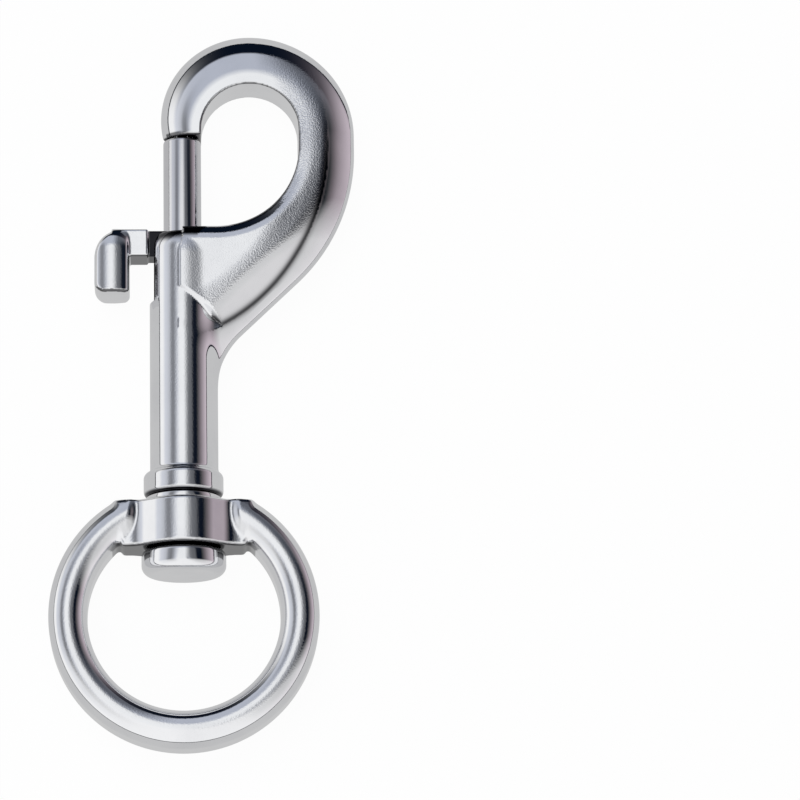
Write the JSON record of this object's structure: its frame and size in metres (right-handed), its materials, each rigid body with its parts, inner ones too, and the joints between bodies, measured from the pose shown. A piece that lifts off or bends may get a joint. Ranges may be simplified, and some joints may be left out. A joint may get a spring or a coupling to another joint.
{
  "type": "swivel_snap_hook",
  "caption": "Swivel snap hook with a spring bolt gate worked by a thumb lever, and a round eye that turns on a headed stud.",
  "frame": {"origin": "Centre of the bounding box in X and Y, at its lowest point in Z, with the hook lying on its back.", "axes": "+X points to the bow's far side, +Y along the barrel from the eye to the bow, +Z out of the front."},
  "size_m": [0.0404, 0.0968, 0.0126],
  "materials": {
    "nickel_body": "bright nickel plate over a zinc casting, finely grained on the raised shield",
    "bolt_steel": "plated steel pin, polished round",
    "nickel_lever": "bright nickel plate, worn smooth by the thumb",
    "spring_steel": "drawn spring wire",
    "nickel_stud": "bright nickel plate",
    "washer_steel": "bright washer",
    "nickel_eye": "bright nickel plate over a zinc casting"
  },
  "bodies": {
    "hook": {"hook_body": "nickel_body", "swivel_stud": "nickel_stud", "swivel_washer": "washer_steel", "bolt_spring": "spring_steel"},
    "bolt": {"bolt_pin": "bolt_steel", "thumb_lever": "nickel_lever"},
    "eye": {"eye_ring": "nickel_eye"}
  },
  "joints": [
    {"name": "bolt_slide", "type": "slide", "parent": "hook", "child": "bolt", "axis": [0, -1, 0], "range_m": [0, 0.006], "stiffness_N_per_m": 300, "springref_m": -0.004, "deforming": ["bolt_spring"]},
    {"name": "eye_swivel", "type": "hinge", "parent": "hook", "child": "eye", "pos_m": [-0.0027, -0.019, 0.0063], "axis": [0, 1, 0], "continuous": true}
  ]
}
